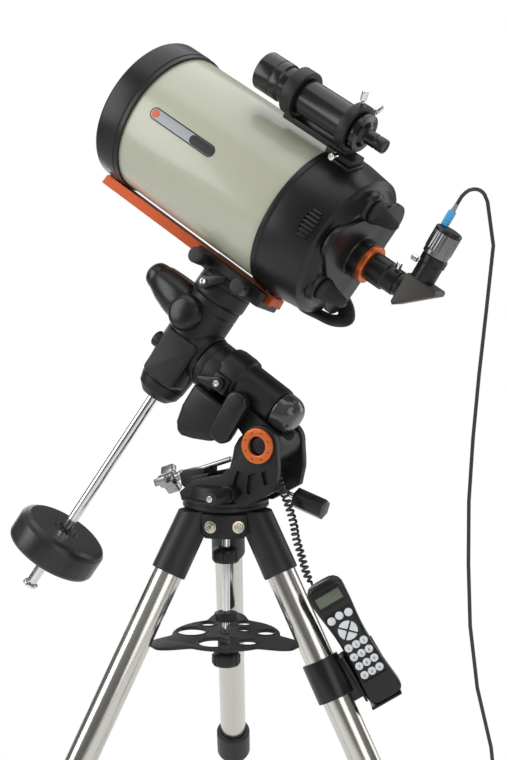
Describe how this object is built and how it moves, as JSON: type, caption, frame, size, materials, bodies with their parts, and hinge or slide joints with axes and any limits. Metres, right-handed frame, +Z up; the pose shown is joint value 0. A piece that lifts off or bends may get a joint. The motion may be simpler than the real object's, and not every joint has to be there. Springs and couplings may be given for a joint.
{
  "type": "telescope",
  "caption": "Schmidt-Cassegrain telescope on a German equatorial mount and steel field tripod, with finder, star diagonal, camera, counterweight and hand control.",
  "frame": {"origin": "middle of the footprint, on the floor", "axes": "+Z up; -X towards the celestial pole, the way the front of the tube points; +X over the leg with the hand control"},
  "size_m": [0.811, 0.82, 1.4474],
  "materials": {
    "black_paint": "satin textured black paint",
    "black_plastic": "matte black plastic",
    "rubber": "black rubber",
    "cream": "glossy pale paint on aluminium",
    "orange": "orange anodised",
    "steel": "polished stainless tube",
    "chrome": "bright chrome",
    "glass": "coated corrector glass",
    "mirror": "aluminised glass",
    "grey_plastic": "translucent pale keys",
    "blue_plastic": "blue plug moulding"
  },
  "bodies": {
    "tripod": {"tripod_head": "black_paint", "leg_sleeve_0": "black_plastic", "leg_sleeve_1": "black_plastic", "leg_sleeve_2": "black_plastic", "leg_tube_0": "steel", "leg_tube_1": "steel", "leg_tube_2": "steel", "accessory_tray": "black_plastic", "handset_holder": "black_plastic", "usb_cable": "black_plastic", "usb_cable_coil": "black_plastic", "usb_a_plug": "black_plastic", "curly_cord": "black_plastic"},
    "clamp_rod": {"center_rod": "chrome"},
    "tray_nut": {"tray_knob": "black_plastic"},
    "mount": {"mount_base": "black_paint", "altitude_pivot_ring": "orange"},
    "azimuth_knob_a": {"azimuth_knob_near": "black_plastic"},
    "azimuth_knob_b": {"azimuth_knob_far": "black_plastic"},
    "latitude_bolt_a": {"altitude_bolt_front": "chrome"},
    "latitude_bolt_b": {"altitude_bolt_rear": "black_paint"},
    "polar_body": {"ra_housing": "black_paint", "electronics_case": "black_plastic", "ra_motor_cover": "black_plastic"},
    "polar_cap": {"polar_scope_cap": "black_plastic"},
    "ra_clutch": {"ra_clutch_lever": "black_plastic"},
    "dec_body": {"dec_housing": "black_paint", "dec_motor_cover": "black_plastic", "counterweight_shaft": "chrome"},
    "weight": {"counterweight": "black_paint"},
    "weight_screw": {"counterweight_lock_screw": "chrome"},
    "saddle_head": {"saddle": "black_paint"},
    "dec_clutch": {"dec_clutch_lever": "black_plastic"},
    "saddle_knob_a": {"saddle_knob_1": "black_plastic"},
    "saddle_knob_b": {"saddle_knob_2": "black_plastic"},
    "optical": {"optical_tube": "cream", "front_cell": "black_paint", "corrector_plate": "glass", "secondary_mirror_holder": "black_plastic", "rear_cell": "black_paint", "dovetail_bar": "orange", "visual_back": "black_paint"},
    "back_ring": {"visual_back_ring": "orange"},
    "main_mirror": {"primary_mirror": "mirror"},
    "focuser": {"focus_knob": "rubber"},
    "mirror_lock_a": {"mirror_lock_knob_1": "rubber"},
    "mirror_lock_b": {"mirror_lock_knob_2": "rubber"},
    "diagonal": {"star_diagonal": "black_paint"},
    "camera": {"camera_body": "steel", "usb_plug": "blue_plastic"},
    "finder": {"finder_scope": "black_paint", "finder_bracket": "black_paint"},
    "hand_control": {"handset": "black_plastic"},
    "keys": {"handset_keypad": "grey_plastic"},
    "foot_leg_0": {"inner_leg_0": "steel"},
    "leg_lock_0": {"leg_lock_knob_0": "black_plastic"},
    "foot_leg_1": {"inner_leg_1": "steel"},
    "leg_lock_1": {"leg_lock_knob_1": "black_plastic"},
    "foot_leg_2": {"inner_leg_2": "steel"},
    "leg_lock_2": {"leg_lock_knob_2": "black_plastic"}
  },
  "joints": [
    {"name": "leg_extend_0", "type": "slide", "parent": "tripod", "child": "foot_leg_0", "axis": [0.4756, 0, -0.8796], "range_m": [0, 0.24]},
    {"name": "leg_lock_turn_0", "type": "hinge", "parent": "tripod", "child": "leg_lock_0", "pos_m": [0.28795, 0, 0.2679], "axis": [0.8796, 0, 0.4756], "continuous": true},
    {"name": "leg_extend_1", "type": "slide", "parent": "tripod", "child": "foot_leg_1", "axis": [-0.2378, 0.4119, -0.8796], "range_m": [0, 0.24]},
    {"name": "leg_lock_turn_1", "type": "hinge", "parent": "tripod", "child": "leg_lock_1", "pos_m": [-0.24147, 0.30566, 0.2679], "axis": [-0.4398, 0.7618, 0.4756], "continuous": true},
    {"name": "leg_extend_2", "type": "slide", "parent": "tripod", "child": "foot_leg_2", "axis": [-0.2378, -0.4119, -0.8796], "range_m": [0, 0.24]},
    {"name": "leg_lock_turn_2", "type": "hinge", "parent": "tripod", "child": "leg_lock_2", "pos_m": [-0.24147, -0.30566, 0.2679], "axis": [-0.4398, -0.7618, 0.4756], "continuous": true},
    {"name": "clamp_rod_turn", "type": "hinge", "parent": "tripod", "child": "clamp_rod", "pos_m": [-0.065, 0, 0.66], "axis": [0, 0, 1], "continuous": true},
    {"name": "tray_nut_turn", "type": "hinge", "parent": "tripod", "child": "tray_nut", "pos_m": [-0.065, 0, 0.5], "axis": [0, 0, 1], "continuous": true},
    {"name": "azimuth_turn", "type": "hinge", "parent": "tripod", "child": "mount", "pos_m": [-0.065, 0, 0.735], "axis": [0, 0, 1], "range_deg": [-3, 1.5]},
    {"name": "azimuth_knob_a_turn", "type": "hinge", "parent": "mount", "child": "azimuth_knob_a", "pos_m": [-0.028, -0.0568, 0.7635], "axis": [0, -1, 0], "continuous": true},
    {"name": "azimuth_knob_b_turn", "type": "hinge", "parent": "mount", "child": "azimuth_knob_b", "pos_m": [-0.028, 0.0568, 0.7635], "axis": [0, 1, 0], "continuous": true},
    {"name": "latitude_bolt_a_turn", "type": "hinge", "parent": "mount", "child": "latitude_bolt_a", "pos_m": [-0.153, 0, 0.7735], "axis": [-0.9432, 0, -0.3322], "continuous": true},
    {"name": "latitude_bolt_b_turn", "type": "hinge", "parent": "mount", "child": "latitude_bolt_b", "pos_m": [0.047, 0, 0.7625], "axis": [0.9563, 0, -0.2924], "continuous": true},
    {"name": "latitude_tilt", "type": "hinge", "parent": "mount", "child": "polar_body", "pos_m": [0.02, 0, 0.838], "axis": [0, 1, 0], "range_deg": [-9, 15]},
    {"name": "polar_cap_off", "type": "slide", "parent": "polar_body", "child": "polar_cap", "axis": [0.8453, 0, -0.5344], "range_m": [0, 0.03]},
    {"name": "ra_clutch_turn", "type": "hinge", "parent": "polar_body", "child": "ra_clutch", "pos_m": [-0.05058, -0.0418, 0.92649], "axis": [0, -1, 0], "range_deg": [-20, 20]},
    {"name": "ra_turn", "type": "hinge", "parent": "polar_body", "child": "dec_body", "pos_m": [-0.127, 0, 0.989], "axis": [-0.8453, 0, 0.5344], "range_deg": [-90, 90]},
    {"name": "weight_slide", "type": "slide", "parent": "dec_body", "child": "weight", "axis": [0.5236, 0.1994, 0.8283], "range_m": [-0.045, 0.14]},
    {"name": "weight_screw_turn", "type": "hinge", "parent": "weight", "child": "weight_screw", "pos_m": [-0.32964, -0.07716, 0.66845], "axis": [-0.7535, 0.5621, 0.3411], "continuous": true},
    {"name": "dec_turn", "type": "hinge", "parent": "dec_body", "child": "saddle_head", "pos_m": [-0.127, 0, 0.989], "axis": [0.5236, 0.1994, 0.8283], "continuous": true},
    {"name": "dec_clutch_turn", "type": "hinge", "parent": "saddle_head", "child": "dec_clutch", "pos_m": [-0.08345, -0.02694, 1.07661], "axis": [0.1065, -0.9799, 0.1685], "range_deg": [-20, 20]},
    {"name": "saddle_knob_a_turn", "type": "hinge", "parent": "saddle_head", "child": "saddle_knob_a", "pos_m": [-0.09414, -0.01333, 1.11209], "axis": [0.1065, -0.9799, 0.1685], "continuous": true},
    {"name": "saddle_knob_b_turn", "type": "hinge", "parent": "saddle_head", "child": "saddle_knob_b", "pos_m": [-0.02145, -0.01333, 1.06613], "axis": [0.1065, -0.9799, 0.1685], "continuous": true},
    {"name": "tube_slide", "type": "slide", "parent": "saddle_head", "child": "optical", "axis": [-0.8453, 0, 0.5344], "range_m": [-0.035, 0.012]},
    {"name": "mirror_lock_a_turn", "type": "hinge", "parent": "optical", "child": "mirror_lock_a", "pos_m": [0.17073, 0.02573, 1.17588], "axis": [0.8453, 0, -0.5344], "continuous": true},
    {"name": "focus_turn", "type": "hinge", "parent": "optical", "child": "focuser", "pos_m": [0.1018, -0.00052, 1.06685], "axis": [0.8453, 0, -0.5344], "range_deg": [-1800, 1800]},
    {"name": "mirror_lock_b_turn", "type": "hinge", "parent": "optical", "child": "mirror_lock_b", "pos_m": [0.12412, 0.12432, 1.10215], "axis": [0.8453, 0, -0.5344], "continuous": true},
    {"name": "mirror_shift", "type": "slide", "parent": "optical", "child": "main_mirror", "axis": [-0.8453, 0, 0.5344], "range_m": [-0.0037, 0.0037]},
    {"name": "back_ring_turn", "type": "hinge", "parent": "optical", "child": "back_ring", "pos_m": [0.15183, 0.04984, 1.10256], "axis": [0.8453, 0, -0.5344], "continuous": true},
    {"name": "diagonal_turn", "type": "hinge", "parent": "optical", "child": "diagonal", "pos_m": [0.22198, 0.04984, 1.05821], "axis": [0.8453, 0, -0.5344], "range_deg": [-90, 90]},
    {"name": "camera_turn", "type": "hinge", "parent": "diagonal", "child": "camera", "pos_m": [0.21945, 0.04984, 1.05981], "axis": [0.5344, 0, 0.8453], "range_deg": [-45, 45]},
    {"name": "finder_release", "type": "slide", "parent": "optical", "child": "finder", "axis": [0.8453, 0, -0.5344], "range_m": [0, 0.06]},
    {"name": "handset_out", "type": "slide", "parent": "tripod", "child": "hand_control", "axis": [0.5165, -0.8563, 0], "range_m": [0, 0.05]},
    {"name": "key_press", "type": "slide", "parent": "hand_control", "child": "keys", "axis": [-0.5165, 0.8563, 0], "range_m": [0, 0.001], "stiffness_N_per_m": 1500}
  ],
  "couplings": [
    {"joint": "focus_turn", "follows": "mirror_shift", "rad_per_m": 8377.6}
  ]
}
